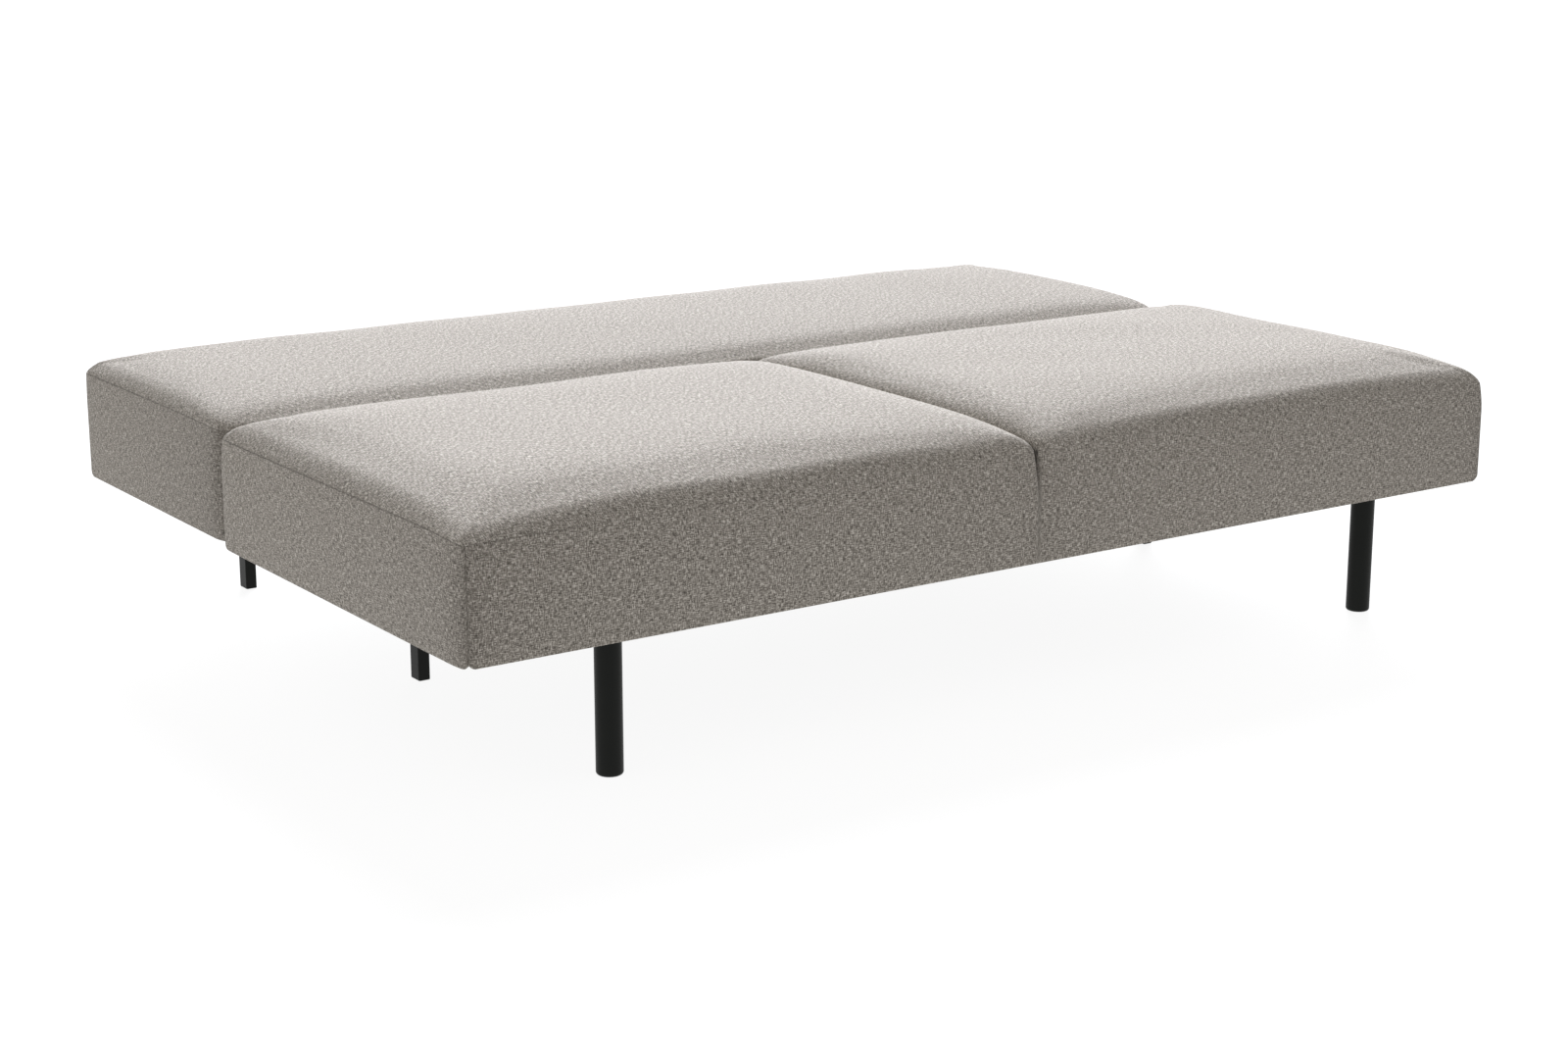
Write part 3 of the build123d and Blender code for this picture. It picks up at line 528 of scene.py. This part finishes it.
def panel_mesh(name, panels):
    """Mesh of (points, seam, flip, free) panels, not yet joined, and its faces as an array."""
    points = np.concatenate([grid.reshape(-1, 3) for grid, _, _, _ in panels])
    starts = np.cumsum([0] + [grid.shape[0] * grid.shape[1] for grid, _, _, _ in panels])
    faces = [panel_faces(*grid.shape[:2], start, flip) for (grid, _, flip, _), start in zip(panels, starts)]
    faces = np.concatenate(faces)
    mesh = bpy.data.meshes.new(name)
    mesh.from_pydata(points, [], faces)
    return mesh, faces


def read_grid(grid, rows, columns):
    """Grid read at fractional rows and columns, by a bilinear blend of the four points around a place."""
    row = np.clip(rows.astype(int), 0, grid.shape[0] - 2)
    column = np.clip(columns.astype(int), 0, grid.shape[1] - 2)
    down = (rows - row)[:, None, None]
    over = (columns - column)[None, :, None]
    upper = grid[row][:, column] * (1 - over) + grid[row][:, column + 1] * over
    lower = grid[row + 1][:, column] * (1 - over) + grid[row + 1][:, column + 1] * over
    return upper * (1 - down) + lower * down


def even_steps(grid, step):
    """For both ways of a grid: its fractional places at even steps, and where its own lines lie in steps."""
    first, second = grid_lengths(grid)
    for line in (first[:, grid.shape[1] // 2], second[grid.shape[0] // 2]):
        length = line - line[0]
        count = max(3, round(length[-1] / step))
        yield np.interp(np.arange(count + 1) / count, length / length[-1], np.arange(len(length)))
        yield length / length[-1] * count


swell_step = 0.016
swell_pressure = 4.0
swell_frames = 20
swell_cap = 0.006
held_low = 0.02


def pressed_out(panels, floor, tuck):
    """Panels after a cloth simulation. A coarse copy of their free parts, held along its edges, just above
    the floor given and as near the middle as tuck says, is blown out by a little pressure for some frames.
    Its movement, capped softly, is read back onto the fine grids."""
    loose = [grid[:, :free] for grid, _, _, free in panels if free]
    steps = [list(even_steps(grid, swell_step)) for grid in loose]
    coarse = [read_grid(grid, rows, columns) for grid, (rows, _, columns, _) in zip(loose, steps)]
    flips = [flip for _, _, flip, free in panels if free]
    mesh, _ = panel_mesh("cloth", [(grid, None, flip, 0) for grid, flip in zip(coarse, flips)])
    rest = np.concatenate([grid.reshape(-1, 3) for grid in coarse])
    inside = [np.zeros(np.subtract(grid.shape[:2], 2), bool) for grid in coarse]
    held = np.concatenate([np.pad(part, 1, constant_values=True).ravel() for part in inside])
    held = held | (rest[:, 2] < floor + held_low) | (np.abs(rest[:, 0]) < tuck)
    cloth = bpy.data.objects.new("cloth", mesh)
    scene.collection.objects.link(cloth)
    cloth.vertex_groups.new(name="held").add(np.flatnonzero(held).tolist(), 1.0, "REPLACE")
    solver = cloth.modifiers.new("cloth", "CLOTH")
    settings = solver.settings
    settings.vertex_group_mass = "held"
    settings.use_pressure = True
    settings.uniform_pressure_force = swell_pressure
    settings.effector_weights.gravity = 0.0
    for step in range(1, swell_frames + 1):
        scene.frame_set(step)
    moved = np.empty(rest.size)
    cloth.evaluated_get(bpy.context.evaluated_depsgraph_get()).data.vertices.foreach_get("co", moved)
    scene.frame_set(1)
    bpy.data.objects.remove(cloth)
    move = moved.reshape(-1, 3) - rest
    move = move * swell_cap / (swell_cap + np.linalg.norm(move, axis=1, keepdims=True))
    shifts = np.split(move, np.cumsum([grid.shape[0] * grid.shape[1] for grid in coarse])[:-1])
    shifts = [shift.reshape(grid.shape) for shift, grid in zip(shifts, coarse)]
    shifts = iter(read_grid(shift, rows, columns) for shift, (_, rows, _, columns) in zip(shifts, steps))
    result = []
    for grid, line, flip, free in panels:
        if free:
            grid = np.concatenate([grid[:, :free] + next(shifts), grid[:, free:]], axis=1)
        result.append((grid, line, flip, free))
    return result


weld_reach = 2e-5
least_edge = 1e-6


def sewn_cover(name, panels, finish):
    """Joins panels into one closed mesh, with its cloth map in metres and its seam values, the painted seam
    shade.
    """
    mesh, faces = panel_mesh(name, panels)
    seam = np.concatenate([line.ravel() for _, line, _, _ in panels])
    maps = [np.stack(grid_lengths(grid), axis=2).reshape(-1, 2) for grid, _, _, _ in panels]
    cloth = np.concatenate(maps)
    mesh.uv_layers.new(name="cloth").data.foreach_set("uv", cloth[faces.ravel()].astype(np.float32).ravel())
    mesh.attributes.new("seam", "FLOAT", "POINT").data.foreach_set("value", seam.astype(np.float32))
    shell = bmesh.new()
    shell.from_mesh(mesh)
    bmesh.ops.remove_doubles(shell, verts=shell.verts, dist=weld_reach)
    bmesh.ops.dissolve_degenerate(shell, edges=shell.edges, dist=least_edge)
    bmesh.ops.recalc_face_normals(shell, faces=shell.faces)
    shell.to_mesh(mesh)
    shell.free()
    mesh.shade_smooth()
    mesh.materials.append(finish)
    piece = bpy.data.objects.new(name, mesh)
    scene.collection.objects.link(piece)
    return piece


seat_low, seat_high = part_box("seat_cover")
bow_depth = 0.003
cloth_step = 0.0125
seat_edge = 0.04
tuck_hold = 0.03
seat_across = graded(seat_high.x - bow_depth - tuck_gap, cloth_step, edge_steps(seat_edge))
seat_along = graded(seat_high.y - seat_low.y - bow_depth, cloth_step, edge_steps(seat_edge))
left_shape = PadShape(
    rolls=(0.030, 0.044, 0.030, 0.030),
    slopes=(0.170, 0.150, 0.280, 0.220),
    steeps=(0.58, 0.65, 0.70, 0.34),
    setbacks=(0.003, 0.0, 0.006, 0.003),
    corners=((0.007, 0.045), (0.004, 0.030)),
    lift=0.035,
    crown=0.004,
    levels=(0.380, 0.391, 0.376, 0.393),
    dips=(-0.010, 0.0, -0.005, 0.002),
    drops=(0.012, 0.0, 0.006, 0.010),
    bows=(bow_depth, 0.0, bow_depth, 0.0),
    clears=(0.15, 0.80),
    # Painted shade beside the upright seams, strongest round the outer front corners.
    painted_shades=((0.62, 0.05), (0.42, 0.20)),
    base=seat_low.z,
    tuck=True,
    seed=11,
)
right_shape = replace(
    left_shape,
    rolls=(0.034, 0.070, 0.030, 0.030),
    slopes=(0.095, 0.100, 0.270, 0.190),
    steeps=(0.82, 0.90, 0.70, 0.42),
    setbacks=(0.002, 0.0, 0.006, 0.003),
    corners=((0.003, 0.040), (0.003, 0.030)),
    lift=0.034,
    levels=(0.385, 0.391, 0.378, 0.393),
    dips=(-0.006, 0.0, -0.004, 0.002),
    drops=(0.006, 0.0, 0.010, 0.008),
    clears=(0.06, 0.30),
    seed=41,
)
seat_corner = (seat_low.x + bow_depth, seat_low.y + bow_depth, 0.0)
seat_panels = placed(pad_panels(seat_across, seat_along, left_shape), seat_corner)
seat_panels += placed(pad_panels(seat_across, seat_along, right_shape), seat_corner, mirror=True)
seat_panels = pressed_out(seat_panels, seat_low.z, tuck_hold)
seat_upholstery = sewn_cover("seat_upholstery", seat_panels, grey_weave)
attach(seat_upholstery, "base")
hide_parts("seat_cover", "seat_foam_left", "seat_foam_right")

# Back upholstery: one long crowned pad of the same cloth over one foam block, sewn as the seat is, with a
# border on all sides. It is straight along the fold, where it swings up past the seat.
back_low, back_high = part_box("back_cover")
back_edge = 0.036
back_across = graded(back_high.x - back_low.x - 2 * bow_depth, cloth_step, edge_steps(back_edge))
back_along = graded(back_high.y - back_low.y - bow_depth, cloth_step, edge_steps(back_edge))
back_shape = PadShape(
    rolls=(0.028, 0.026, 0.080, 0.028),
    slopes=(0.260, 0.120, 0.570, 0.060),
    steeps=(0.60, 0.74, 0.38, 0.78),
    setbacks=(0.001, 0.002, 0.003, 0.001),
    corners=((0.022, 0.040), (0.001, 0.015)),
    lift=0.035,
    crown=0.002,
    levels=(0.391, 0.390, 0.394, 0.393),
    dips=(0.006, 0.002, 0.010, 0.010),
    drops=(0.002, 0.004, 0.004, 0.003),
    bows=(bow_depth, bow_depth, 0.0, bow_depth),
    clears=(0.12, 0.83),
    # Painted shade beside the upright seams, strongest on the ends beside the fold, where back meets seat.
    painted_shades=((1.00, 0.10), (0.20, 0.20)),
    base=back_low.z,
    tuck=False,
    seed=71,
)
back_corner = (back_low.x + bow_depth, back_low.y, 0.0)
back_panels = placed(pad_panels(back_across, back_along, back_shape), back_corner)
back_panels = pressed_out(back_panels, back_low.z, 0.0)
back_upholstery = sewn_cover("back_upholstery", back_panels, grey_weave)
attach(back_upholstery, "backrest")
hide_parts("back_cover", "back_foam")

# Legs and base: round moulded legs under the seat's front, and a frame of powder-coated rectangular steel
# tube with plastic caps behind them. Both are satin black, the coat very slightly orange-peeled.


def satin_black(name, colour, roughness, grain, depth):
    """Black finish: a dark colour that a broad noise varies a little, with a fine one in its roughness and
    bump."""
    sheet = NodeSheet(name)
    place = sheet.node("ShaderNodeTexCoord").outputs["Object"]
    speck = sheet.noise(place, grain, 3.0, 0.55)
    cloud = sheet.noise(place, 9.0, 2.0, 0.5)
    pale = tuple(1.5 * part for part in colour)
    sheet.feed(sheet.shader.inputs["Base Color"], sheet.ramp(cloud, [(0.3, colour), (0.75, pale)]))
    swing = 0.18
    rough = sheet.math("MULTIPLY_ADD", speck, swing)
    rough.node.inputs[2].default_value = roughness - swing / 2
    sheet.feed(sheet.shader.inputs["Roughness"], rough)
    bump = sheet.node("ShaderNodeBump", Strength=0.25, Distance=depth, Height=speck)
    sheet.feed(sheet.shader.inputs["Normal"], bump.outputs[0])
    sheet.shader.inputs["Specular IOR Level"].default_value = 0.12
    return sheet.material


black_plastic = satin_black("black_plastic", (0.0060, 0.0068, 0.0058), 0.42, 900.0, 0.0002)
black_steel = satin_black("black_steel", (0.0050, 0.0054, 0.0048), 0.38, 420.0, 0.0003)
black_rubber = satin_black("black_rubber", (0.012, 0.012, 0.012), 0.75, 1500.0, 0.0002)


def finish_nodes(finish, *names):
    """Give a finish to CAD nodes by name."""
    for name in names:
        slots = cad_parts[name].data.materials
        slots.clear()
        slots.append(finish)


sides = ("left", "right")
finish_nodes(black_plastic, *(f"front_leg_{side}" for side in sides))
finish_nodes(black_plastic, *(f"{leg}_foot_cap_{side}" for leg in ("middle", "rear") for side in sides))
finish_nodes(black_plastic, "rail_end_caps", "seat_spring_clips", "back_spring_clips")
finish_nodes(black_steel, *(f"{leg}_leg_{side}" for leg in ("middle", "rear") for side in sides))
finish_nodes(black_steel, *(f"side_rail_{side}" for side in sides), "front_cross_tube", "rear_cross_tube")
finish_nodes(black_steel, *(f"hinge_{half}_arm_{side}" for half in ("seat", "back") for side in sides))
finish_nodes(black_rubber, "rest_pads")

# Linings: black non-woven sheets over the undersides of seat and back, which keep dust out. They have a
# pressed dimple pattern and short fibres.
lining_sheet = NodeSheet("black_lining")
lining_place = lining_sheet.node("ShaderNodeTexCoord").outputs["Object"]
lining_fibre = lining_sheet.noise(lining_place, 700.0, 4.0, 0.7)
lining_dimple = lining_sheet.node(
    "ShaderNodeTexVoronoi", {"feature": "F1"}, Vector=lining_place, Scale=520.0, Randomness=0.15
).outputs["Distance"]
lining_tone = lining_sheet.ramp(lining_fibre, [(0.3, (0.008, 0.008, 0.009)), (0.75, (0.03, 0.03, 0.031))])
lining_sheet.feed(lining_sheet.shader.inputs["Base Color"], lining_tone)
lining_height = lining_sheet.math("ADD", lining_dimple, lining_fibre)
lining_bump = lining_sheet.node("ShaderNodeBump", Strength=0.5, Distance=0.0004, Height=lining_height)
lining_sheet.feed(lining_sheet.shader.inputs["Normal"], lining_bump.outputs[0])
lining_sheet.shader.inputs["Roughness"].default_value = 0.9
finish_nodes(lining_sheet.material, "seat_lining", "back_lining")

# Timber boxes: planed softwood rails, bearers and corner blocks that make up a box inside each cover. The
# grain runs straight, along X.
timber_sheet = NodeSheet("timber")
timber_place = timber_sheet.node("ShaderNodeTexCoord").outputs["Object"]
timber_grain = timber_sheet.noise(timber_sheet.stretched(timber_place, (6.0, 90.0, 90.0)), 1.0, 5.0, 0.6)
timber_tone = timber_sheet.ramp(
    timber_grain, [(0.3, (0.36, 0.23, 0.12)), (0.52, (0.55, 0.39, 0.22)), (0.75, (0.66, 0.5, 0.31))]
)
timber_sheet.feed(timber_sheet.shader.inputs["Base Color"], timber_tone)
timber_bump = timber_sheet.node("ShaderNodeBump", Strength=0.3, Distance=0.0005, Height=timber_grain)
timber_sheet.feed(timber_sheet.shader.inputs["Normal"], timber_bump.outputs[0])
timber_sheet.shader.inputs["Roughness"].default_value = 0.7
for block in ("seat", "back"):
    finish_nodes(timber_sheet.material, f"{block}_front_rail", f"{block}_rear_rail", f"{block}_centre_rail")
    finish_nodes(timber_sheet.material, *(f"{block}_end_rail_{side}" for side in sides))
    finish_nodes(timber_sheet.material, *(f"{block}_bearer_{side}" for side in sides))
    finish_nodes(timber_sheet.material, f"{block}_corner_blocks")

# Hardware: dull zinc-plated bolts, studs, plates, screws, pins and washers, and springs of drawn steel wire.
# The plating is streaked very finely.


def bright_steel(name, dark, pale, roughness):
    """Plated steel: a metal whose colour and roughness vary with a fine drawn-out noise."""
    sheet = NodeSheet(name)
    place = sheet.node("ShaderNodeTexCoord").outputs["Object"]
    streak = sheet.noise(sheet.stretched(place, (300.0, 300.0, 2200.0)), 1.0, 3.0, 0.5)
    sheet.feed(sheet.shader.inputs["Base Color"], sheet.ramp(streak, [(0.3, dark), (0.7, pale)]))
    swing = 0.2
    rough = sheet.math("MULTIPLY_ADD", streak, swing)
    rough.node.inputs[2].default_value = roughness - swing / 2
    sheet.feed(sheet.shader.inputs["Roughness"], rough)
    sheet.shader.inputs["Metallic"].default_value = 1.0
    return sheet.material


zinc_steel = bright_steel("zinc_steel", (0.24, 0.24, 0.23), (0.36, 0.36, 0.35), 0.5)
spring_steel = bright_steel("spring_steel", (0.13, 0.13, 0.14), (0.24, 0.24, 0.25), 0.45)
finish_nodes(zinc_steel, "base_bolts", "leg_studs", "leg_plates", "leg_plate_screws", "hinge_washers")
finish_nodes(zinc_steel, "seat_arm_bolts", "back_arm_bolts", *(f"hinge_pin_{side}" for side in sides))
finish_nodes(spring_steel, "seat_springs", "back_springs")
